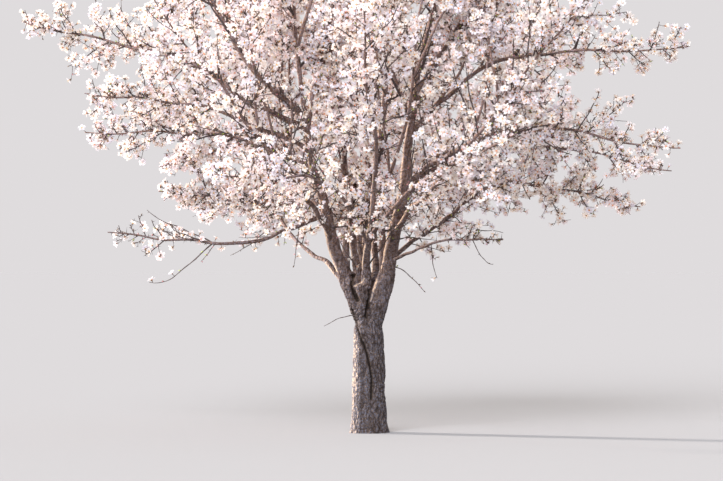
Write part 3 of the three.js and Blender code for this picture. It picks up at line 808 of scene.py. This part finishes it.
def in_space(points, owner, overlap):
    """Which points lie in the tree's own box, nearer to their own leader than to any other, by the
    clearance less the overlap that is let be, and stand clear of the others' boughs."""
    within = ((points > cad_box[0]) & (points < cad_box[1])).all(1)
    gap = distances(points, piece_start, piece_end)
    is_own = piece_owner == owner[:, None]
    own = np.where(is_own, gap, np.inf).min(1)
    other = np.where(is_own, np.inf, gap).min(1)
    clear = (is_own | (gap > np.where(is_bough, piece_radius + CLEARANCE, 0))).all(1)
    return within & clear & (other > own + CLEARANCE - overlap)


def gathered(groups):
    """Several groups of arrays as one."""
    return {key: np.concatenate([group[key] for group in groups]) for key in groups[0]}


def radius_at(wood, line, share):
    """The radius at shares of the length of the numbered lines: it falls evenly from foot to tip."""
    foot, tip = wood["radii"][line, 0], wood["radii"][line, 1]
    return foot + (tip - foot) * share


def side_limbs(wood, rule):
    """Side limbs on many lines of wood at once, by the tree's rule: each leaves at its own share
    of the line, turned round it by the golden angle from the last, leaning forward and up, and is
    shorter towards the line's tip. It is grown whole, or at three or two quarters of its length,
    whichever first keeps to its mass's space, or not at all."""
    lines, owner, seed = wood["lines"], wood["owner"], rule["seed"]
    parent = np.repeat(np.arange(len(lines)), rule["count"])
    j = np.tile(np.arange(rule["count"]), len(lines))
    own_seed = wood["seed"][parent]
    share = (j + 0.5 + STRAY_ALONG * (chance(own_seed, j, 2 + seed) - 0.5)) / rule["count"]
    t = rule["first"] + (rule["last"] - rule["first"]) * share
    foot, heading = at_shares(lines, parent, t)
    turn = j * TURN + chance(own_seed, 0, 3 + seed) * 2 * np.pi
    leaving = turned(sideways(heading), heading, turn)
    leaving = unit(leaving + heading * FORWARD + UP * rule["lift"])
    bent = unit(leaving + UP * rule["lift"])
    length = np.linalg.norm(np.diff(lines, axis=1), axis=2).sum(1)[parent]
    longest = np.minimum(rule["longest"], length * rule["spread"])
    shortening = rule["level"] + (rule["upright"] - rule["level"]) * steepness[owner[parent]]
    vary = LENGTHS[0] + LENGTHS[1] * chance(own_seed, j, 4 + seed)
    longest = longest * (1 - shortening * t) * vary
    seeds = own_seed * SEED_STEP + j
    grown = np.zeros(len(parent))
    result = np.zeros((len(parent), rule["pieces"] + 1, 3))
    for cut in CUTS:
        left = np.flatnonzero(grown == 0)
        end = foot[left] + leaving[left] * (longest[left] * cut)[:, None]
        tried = limbs(foot[left], end, leaving[left], bent[left], seeds[left], rule["pieces"])
        walk = tried[:, 2::2]
        whose = np.repeat(owner[parent[left]], walk.shape[1])
        inside = in_space(walk.reshape(-1, 3), whose, rule["overlap"])
        fits = inside.reshape(walk.shape[:2]).all(1)
        result[left[fits]] = tried[fits]
        grown[left[fits]] = cut
    kept = (grown > 0) & (chance(own_seed, j, 5 + seed) < full[owner[parent]] ** rule["bare"])
    root = radius_at(wood, parent, t)
    tip = np.full(len(root), rule["thinnest"])
    radii = np.stack([np.minimum(root * rule["root"], rule["thickest"]), tip], axis=1)
    return dict(lines=result[kept], owner=owner[parent[kept]], seed=seeds[kept], radii=radii[kept])


steepness = np.array([leader["steepness"] for leader in leaders.values()])
full = np.array([leader["full"] for leader in leaders.values()])
stems = dict(
    lines=np.stack([leader["stem"] for leader in leaders.values()]),
    owner=np.arange(len(leaders)),
    seed=np.arange(1, len(leaders) + 1),
    radii=np.array([(leader["radii"][1], STEM_TIP) for leader in leaders.values()]),
)
upper_boughs = dict(
    lines=np.stack([evenly(leader["bough"][UPPER_FROM:], UPPER_PIECES) for leader in leaders.values()]),
    owner=np.arange(len(leaders)),
    seed=UPPER_SEED + np.arange(len(leaders)),
    radii=np.array([leader["radii"] for leader in leaders.values()]),
)
twigs = side_limbs(stems, TWIG)
between = gathered([side_limbs(stems, BETWEEN), side_limbs(inner, dict(BETWEEN, first=0.4))])
whips = side_limbs(stems, WHIP)
shoots = [side_limbs(twigs, SHOOT), side_limbs(between, dict(SHOOT, seed=20))]
shoots.append(side_limbs(stems, STEM_SHOOT))
low = side_limbs(upper_boughs, BOUGH_SHOOT)
high = low["lines"][:, 0, 2] > BARE_BELOW
shoots.append({key: values[high] for key, values in low.items()})


def twig_wood(wood, sides, knobs):
    """The tubes of many twigs: the radius falls evenly from foot to tip and swells by a quick
    wave at each spur."""
    share = np.linspace(0, 1, wood["lines"].shape[1])
    radii = wood["radii"][:, :1] + (wood["radii"][:, 1:] - wood["radii"][:, :1]) * share
    swell = 1 + knobs * np.sin(np.arange(len(share)) * KNOB_STEP + wood["seed"][:, None])
    return tubes(wood["lines"], (radii * swell)[..., None], sides)


def plain_material(name, colour, roughness, spread, scale, bump_strength=0.0):
    """A matt finish whose colour wavers a little by a fine noise, with an optional fine bump."""
    material, tree, shader = matt(name, roughness, specular=0.25)
    grain = speckle(tree, add(tree, "ShaderNodeTexCoord", "Object", {}), scale, 3.0)
    stops = []
    for position, light in ((0.3, 1 - spread), (0.7, 1 + spread)):
        stops.append((position, [min(1.0, channel * light) for channel in colour]))
    tree.links.new(ramp(tree, grain, stops), shader.inputs["Base Color"])
    if bump_strength:
        bump = {"Height": grain, "Strength": bump_strength, "Distance": 0.001}
        tree.links.new(add(tree, "ShaderNodeBump", "Normal", bump), shader.inputs["Normal"])
    return material


twig_bark = plain_material("twig_bark", TWIG_BROWN, 0.8, spread=0.35, scale=120.0, bump_strength=0.4)
limb_parts = [twig_wood(stems, STEM_SIDES, LIMB_KNOBS), twig_wood(inner, INNER_SIDES, LIMB_KNOBS)]
limb_shape = joined(limb_parts)
limb_piece = piece("blossom_limbs", *limb_shape, bark)
stem_axis = around_axis(stems["lines"], STEM_SIDES)
stem_relief = STEM_RELIEF[0] + STEM_RELIEF[1] * furrows(limb_shape[0] * BARK_STRETCH)
# Painted sunlight on the thicker stems' sunward side.
stem_relief[: len(stem_axis)] += painted_sun_on_limbs(limb_shape[0][: len(stem_axis)] - stem_axis)
set_relief(limb_piece, stem_relief)
stem_parts = [
    twig_wood(gathered([bare, trunk_twig]), sides=5, knobs=0.2),
    twig_wood(twigs, sides=5, knobs=0.12),
    twig_wood(gathered([between, whips]), sides=4, knobs=0.12),
]
stem_piece = piece("blossom_stems", *joined(stem_parts), twig_bark)
shoot_parts = [twig_wood(each, sides=3, knobs=0.1) for each in shoots]
shoot_piece = piece("blossom_shoots", *joined(shoot_parts), twig_bark)
for made in (limb_piece, stem_piece, shoot_piece):
    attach(made, "root")
    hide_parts(*MASSES)

# The flowers: five blunt white petals in a shallow bowl, one to three bowls on a spur, all round the
# twigs. Each spray's petals take one of four whites. A petal is a fan of three triangles, and all
# flowers are turned, scaled and joined as whole arrays.
SPACING = 0.028
STEM_SPACING = 0.040
LIMB_SPUR = (0.014, 0.055)
TWIG_SPUR = (0.006, 0.032)
SHOOT_SPUR = (0.004, 0.018)
BARE_SPUR = (0.004, 0.012)
SPUR_SUNK = 0.7
NODE_STRAY = 0.7
TURN_STRAY = 0.6
FLOWERING = 0.81
PETAL = np.array(
    [
        (0.0012, 0.0, 0.0),
        (0.0125, -0.0064, 0.0020),
        (0.0202, -0.0040, 0.0010),
        (0.0202, 0.0040, 0.0010),
        (0.0125, 0.0064, 0.0020),
    ]
)
FAN = np.array([(0, 1, 2), (0, 2, 3), (0, 3, 4)])
OPENINGS = (0.18, 0.35, 0.55, 0.95)
OPENING_SHARES = (0.38, 0.34, 0.20, 0.08)
FLOWERS = (1, 2, 3)
FLOWER_SHARES = (0.46, 0.38, 0.16)
FACING_ONWARD = 0.35
FACING_UP = 0.12
FACING_STRAY = 0.5
SMALLEST = 1.05
SIZE_RANGE = 0.25
BOWL_OFF = 0.010
CAMERA_AWAY = 16.3
EYE = np.array([-0.045, 0.97])
scatter = np.random.default_rng(11)


def flower_nodes(wood, spacing, spur, first):
    """The nodes of many twigs: evenly spaced, each with its point, the wood's heading, the way
    out of the wood there and how far its flowers stand off."""
    lines = wood["lines"]
    length = np.linalg.norm(np.diff(lines, axis=1), axis=2).sum(1) * (1 - first)
    many = np.maximum(1, np.round(length / spacing).astype(int))
    line = np.repeat(np.arange(len(lines)), many)
    k = np.arange(len(line)) - np.repeat(np.cumsum(many) - many, many)
    spot = (k + 0.5 + NODE_STRAY * (scatter.random(len(k)) - 0.5)) / many[line]
    share = first + (1 - first) * np.clip(spot, 0, 1)
    point, heading = at_shares(lines, line, share)
    turn = k * TURN + wood["seed"][line]
    out = turned(sideways(heading), heading, turn + TURN_STRAY * scatter.standard_normal(len(k)))
    radius = radius_at(wood, line, share)
    off = radius * SPUR_SUNK + spur[0] + (spur[1] - spur[0]) * scatter.random(len(k)) ** 2
    whose = dict(spray=wood["seed"][line], owner=wood["owner"][line])
    return dict(point=point, heading=heading, out=out, off=off, radius=radius, **whose)


nodes = gathered(
    [
        flower_nodes(stems, STEM_SPACING, LIMB_SPUR, first=0.04),
        flower_nodes(inner, STEM_SPACING, LIMB_SPUR, first=0.4),
        flower_nodes(bare, SPACING, BARE_SPUR, first=0.1),
        flower_nodes(twigs, SPACING, TWIG_SPUR, first=0.03),
        flower_nodes(gathered([between, whips]), SPACING, TWIG_SPUR, first=0.03),
        *[flower_nodes(each, SPACING, SHOOT_SPUR, first=0.06) for each in shoots],
    ]
)
base = nodes["point"] + nodes["out"] * nodes["off"][:, None]


def seen(points):
    """Where points lie as the picture shows them: drawn toward the camera on to the upright plane
    through the trunk. The third number is how far behind that plane they stand."""
    nearer = CAMERA_AWAY / (CAMERA_AWAY + points[:, 1])
    flat = EYE + (points[:, [0, 2]] - EYE) * nearer[:, None]
    return np.concatenate([flat, points[:, 1:2]], axis=1)


def hides(points, line, width):
    """Which points would stand before a line of wood in the picture: nearer than its nearest
    point there, and within a width of it."""
    front, limb = seen(points), seen(line)
    gap = np.linalg.norm(front[:, None, :2] - limb[None, :, :2], axis=2)
    nearest = gap.argmin(1)
    return (gap.min(1) < width[nearest]) & (front[:, 2] < limb[nearest, 2])


# The limbs that show bare from the front: the chance that a flower in front of the bough, and of
# the stem, is left out, and how far along the stem that goes.
SHOWN_BESIDE = 0.018
SHOWN_TWIG = 0.7
SHOWN_ELSE = (0.55, 0.45, 0.35)
SHOWN = {
    "right": (0.97, 0.95, 0.35),
    "left": (0.85, 0.50, 0.35),
    "centre": (0.75, 0.60, 0.35),
    "centre_left": (0.40, 0.30, 0.35),
    "left_upper": (0.97, 0.90, 0.50),
    "left_arm": (0.97, 0.70, 0.85),
    "left_mid": (0.90, 0.85, 0.92),
    "left_low": (0.80, 0.85, 0.92),
    "right_high": (0.85, 0.75, 0.90),
    "right_arm": (0.92, 0.80, 0.92),
    "right_back": (0.60, 0.65, 0.85),
    "back_left": (0.20, 0.20, 0.35),
    "back_right": (0.20, 0.20, 0.35),
}
bare_chance = np.zeros(len(base))
for name, leader in leaders.items():
    on_bough, on_stem, stem_last = SHOWN.get(name, SHOWN_ELSE)
    for wood, radii, last, chance_of in (
        ("bough", leader["radii"], 1.0, on_bough),
        ("stem", (leader["radii"][1], STEM_TIP), stem_last, on_stem),
    ):
        line = leader[wood][: int(last * len(leader[wood]))]
        thickness = np.linspace(radii[0], radii[0] + (radii[1] - radii[0]) * last, len(line))
        hidden = hides(base, line, thickness + SHOWN_BESIDE)
        bare_chance = np.maximum(bare_chance, hidden * chance_of)
width = np.full(bare["lines"].shape[1], SHOWN_BESIDE)
for line in bare["lines"]:
    bare_chance = np.maximum(bare_chance, hides(base, line, width) * SHOWN_TWIG)
in_flower = scatter.random(len(base)) < full[nodes["owner"]] * FLOWERING * (1 - bare_chance)
count = in_flower * scatter.choice(FLOWERS, len(base), p=FLOWER_SHARES)
which = np.repeat(np.arange(len(base)), count)
lean = scatter.standard_normal((len(which), 3)) * FACING_STRAY
onward = nodes["heading"][which] * FACING_ONWARD
facing = unit(nodes["out"][which] + onward + UP * FACING_UP + lean)
size = SMALLEST + SIZE_RANGE * scatter.random(len(which))
middle = base[which] + facing * (BOWL_OFF * size)[:, None]
spray = nodes["spray"][which]
opening = scatter.choice(len(OPENINGS), len(which), p=OPENING_SHARES)
twist = scatter.random(len(which)) * 2 * np.pi


def flower(opening):
    """One flower: the petal's points, tilted up by the opening's angle, repeated at five even
    turns about the flower's axis."""
    flat, up = np.cos(opening), np.sin(opening)
    petal = PETAL @ np.array([[flat, 0, -up], [0, 1, 0], [up, 0, flat]]).T
    turns = np.arange(5) / 5 * 2 * np.pi
    spin = np.array([[[np.cos(a), -np.sin(a), 0], [np.sin(a), np.cos(a), 0], [0, 0, 1]] for a in turns])
    points = np.einsum("tij,vj->tvi", spin, petal).reshape(-1, 3)
    return points, (FAN[None] + np.arange(5)[:, None, None] * len(PETAL)).reshape(-1, 3)


def placed(shape, triangles, middle, facing, twist, size):
    """One small shape, put in many places at once: its points times the size, along the three
    directions of a frame whose third looks along facing, with the twist about it."""
    across = turned(sideways(facing), facing, twist)
    up = np.cross(facing, across)
    axes = np.stack([across, up, facing], axis=-1) * size[:, None, None]
    points = np.einsum("nij,vj->nvi", axes, shape) + middle[:, None]
    faces = triangles[None] + (np.arange(len(middle)) * len(shape))[:, None, None]
    return points.reshape(-1, 3), faces.reshape(-1, 3)


THROUGH = (0.97, 0.89, 0.865)
THROUGH_SHARE = 0.48


def petal_material(name, colour):
    """A thin matt petal that lets half of the light through, of one white for the whole spray."""
    material, tree, shader = matt(name, roughness=0.6, specular=0.2)
    shader.inputs["Base Color"].default_value = (*colour, 1)
    warmer = {"Color": (*np.array(colour) * THROUGH, 1)}
    through = add(tree, "ShaderNodeBsdfTranslucent", "BSDF", warmer)
    both = {"Fac": THROUGH_SHARE, 1: shader.outputs["BSDF"], 2: through}
    surface = tree.nodes["Material Output"].inputs["Surface"]
    tree.links.new(add(tree, "ShaderNodeMixShader", "Shader", both), surface)
    return material


WHITES = {
    "white": (0.95, 0.945, 0.945),
    "cream": (0.95, 0.925, 0.885),
    "blush": (0.95, 0.890, 0.905),
    "cool": (0.88, 0.88, 0.95),
}
tint = (chance(spray, 7, 7) * len(WHITES)).astype(int)
for number, (name, colour) in enumerate(WHITES.items()):
    parts = []
    for kind, angle in enumerate(OPENINGS):
        chosen = (tint == number) & (opening == kind)
        where = (middle[chosen], facing[chosen], twist[chosen], size[chosen])
        parts.append(placed(*flower(angle), *where))
    finish = petal_material("petal_" + name, colour)
    made = piece("petals_" + name, *joined(parts), finish, smooth=False)
    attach(made, "root")
    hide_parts(*MASSES)

# The flowers' hearts and cups: an orange or golden eye and two golden stamens stand in each bowl,
# and behind it a small red-brown cup narrows to a stalk toward the wood. Each is a three-sided cone
# or a pair of slivers, put in place like the petals.
EYE_RADIUS = 0.0064
EYE_HEIGHT = (0.0008, 0.0055)
ORANGE_SHARE = 0.35
ORANGE = (0.72, 0.21, 0.06)
DARK_GOLD = (0.60, 0.32, 0.08)
GOLD = (0.78, 0.52, 0.20)
CUP_BROWN = (0.23, 0.125, 0.070)
CUP_RADIUS = 0.0034
CUP_DEPTH = 0.018
STAMEN_FOOT = 0.001
STAMEN_REACH = 0.0065
STAMEN_HALF = 0.0012
STAMEN_LENGTH = 0.011


def cone(radius, low, high, sides):
    """A ring of points at one height, and a tip at another, with the triangles between them."""
    angle = np.arange(sides) / sides * 2 * np.pi
    ring = np.stack([radius * np.cos(angle), radius * np.sin(angle), np.full(sides, low)], axis=1)
    turn = np.arange(sides)
    faces = np.stack([turn, (turn + 1) % sides, np.full(sides, sides)], axis=1)
    return np.concatenate([ring, [(0.0, 0.0, high)]]), faces if high > low else faces[:, ::-1]


def stamens(count):
    """Slim upright triangles in a fan round the flower's axis, wide at the top."""
    angle = np.arange(count) / count * 2 * np.pi
    out = np.stack([np.cos(angle), np.sin(angle)], axis=1)
    side = np.stack([-np.sin(angle), np.cos(angle)], axis=1)
    corners = []
    for away, aside, height in (
        (STAMEN_FOOT, 0.0, STAMEN_FOOT),
        (STAMEN_REACH, -STAMEN_HALF, STAMEN_LENGTH * 0.8),
        (STAMEN_REACH, STAMEN_HALF, STAMEN_LENGTH),
    ):
        corners.append(np.concatenate([out * away + side * aside, np.full((count, 1), height)], axis=1))
    return np.stack(corners, axis=1).reshape(-1, 3), np.arange(count * 3).reshape(-1, 3)


def small_piece(name, shape, colour, middle, facing, twist, size):
    """Many copies of one small shape as a piece of one colour."""
    finish = plain_material(name, colour, roughness=0.6, spread=0.2, scale=60.0)
    made = piece(name, *placed(*shape, middle, facing, twist, size), finish)
    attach(made, "root")
    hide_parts(*MASSES)


fresh = scatter.random(len(middle)) < ORANGE_SHARE
eye = cone(EYE_RADIUS, *EYE_HEIGHT, 3)
for name, colour, chosen in (
    ("eyes_orange", ORANGE, fresh),
    ("eyes_gold", DARK_GOLD, ~fresh),
):
    small_piece(name, eye, colour, middle[chosen], facing[chosen], twist[chosen], size[chosen])
where = (middle, facing, twist, size)
small_piece("stamens", stamens(2), GOLD, *where)
small_piece("cups", cone(CUP_RADIUS, 0.0, -CUP_DEPTH, 3), CUP_BROWN, *where)

# The spurs and buds: short dark spurs that carry the flowers off the wood, and pink, brown and green
# buds beside some of the nodes. Each is one or two three-sided cones, put in place like the petals.
SHORTEST_SPUR = 0.010
SPUR_RADIUS = 0.0026
SPUR_PAST = 0.004
BUD_STRAY = 0.4


def plainly(count):
    """No twist and no change of size, for a count of small shapes."""
    return np.zeros(count), np.ones(count)


long = np.flatnonzero(nodes["off"] > SHORTEST_SPUR)
foot, way = nodes["point"][long], nodes["out"][long]
points, triangles = placed(*cone(SPUR_RADIUS, 0.0, 1.0, 3), foot, way, *plainly(len(long)))
points = points.reshape(len(long), -1, 3)
points[:, -1] = foot + way * (nodes["off"][long] + SPUR_PAST)[:, None]
spurs = piece("spurs", points.reshape(-1, 3), triangles, twig_bark)
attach(spurs, "root")
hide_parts(*MASSES)


def bud(radius, length):
    """A closed bud: a ring of three points a third of the way up, between a foot and a tip."""
    low, faces = cone(radius, length / 3, 0.0, 3)
    high, top = cone(radius, length / 3, length, 3)
    return joined([(low, faces), (high, top)])


def buds(name, colour, share, radius, length):
    """Buds of one kind beside a share of the nodes."""
    chosen = np.flatnonzero(scatter.random(len(base)) < share)
    stray = scatter.standard_normal((len(chosen), 3)) * BUD_STRAY
    way = unit(nodes["out"][chosen] + nodes["heading"][chosen] + stray)
    where = nodes["point"][chosen] + way * nodes["radius"][chosen][:, None]
    small_piece(name, bud(radius, length), colour, where, way, *plainly(len(chosen)))


buds("flower_buds", (0.62, 0.25, 0.28), share=0.07, radius=0.0042, length=0.013)
buds("bud_scales", (0.150, 0.095, 0.055), share=0.26, radius=0.0050, length=0.017)
buds("leaf_buds", (0.36, 0.45, 0.06), share=0.05, radius=0.0034, length=0.020)

# The studio: a plain pale floor, low sun from behind on the left, a wide soft fill from the front and
# an edge light for the wood alone, which nothing but the floor could shade. The camera stands at eye
# level, sixteen metres off, where the picture was taken from.
FLOOR_SIZE = 3000.0
FLOOR_COLOUR = (0.3665, 0.3685, 0.3730, 1)
SKY_COLOUR = (0.74, 0.715, 0.725, 1)
CAMERA_LENS = 135.0
CAMERA_PITCH = np.radians(0.645)
FRAME_WIDTH = 36.0
SEEN_AS_FAR_AS = 2000.0

floor_finish, _, shader = matt("floor", roughness=1.0, specular=0.0)
shader.inputs["Base Color"].default_value = FLOOR_COLOUR
half = FLOOR_SIZE / 2
corners = np.array([(-half, -half, 0), (half, -half, 0), (half, half, 0), (-half, half, 0)])
floor = piece("floor", corners, np.array([(0, 1, 2), (0, 2, 3)]), floor_finish, smooth=False)


def soft_light(name, towards, power, spread, colour):
    """A wide, far light that shines from one direction, evenly over the whole floor."""
    lamp = bpy.data.lights.new(name, "SUN")
    lamp.energy, lamp.angle, lamp.color = power, np.radians(spread), colour
    holder = bpy.data.objects.new(name, lamp)
    holder.rotation_euler = (-Vector(towards)).to_track_quat("-Z", "Y").to_euler()
    bpy.context.collection.objects.link(holder)
    return holder


soft_light("key", (-0.90, 0.36, 0.30), power=6.7, spread=5.0, colour=(1.0, 0.91, 0.85))
soft_light("fill", (-0.25, -0.85, 0.46), power=4.65, spread=35.0, colour=(0.95, 0.95, 1.0))
edge = soft_light("edge", (-0.78, 0.36, 0.48), power=8.0, spread=4.0, colour=(1.0, 0.87, 0.75))
lit_wood = bpy.data.collections.new("lit_wood")
unshaded = bpy.data.collections.new("unshaded")
for made in (trunk, limb_bark, limb_piece):
    lit_wood.objects.link(made)
unshaded.objects.link(floor)
edge.light_linking.receiver_collection = lit_wood
edge.light_linking.blocker_collection = unshaded

world = bpy.data.worlds.new("studio")
bpy.context.scene.world = world
world.use_nodes = True
world.node_tree.nodes["Background"].inputs["Color"].default_value = SKY_COLOUR
world.node_tree.nodes["Background"].inputs["Strength"].default_value = 1.0

lens = bpy.data.cameras.new("camera")
lens.lens, lens.sensor_width = CAMERA_LENS, FRAME_WIDTH
lens.clip_end = SEEN_AS_FAR_AS
camera = bpy.data.objects.new("camera", lens)
camera.location = (EYE[0], -CAMERA_AWAY, EYE[1])
camera.rotation_euler = (np.pi / 2 + CAMERA_PITCH, 0, 0)
bpy.context.collection.objects.link(camera)
bpy.context.scene.camera = camera
bpy.context.scene.view_settings.view_transform = "Standard"
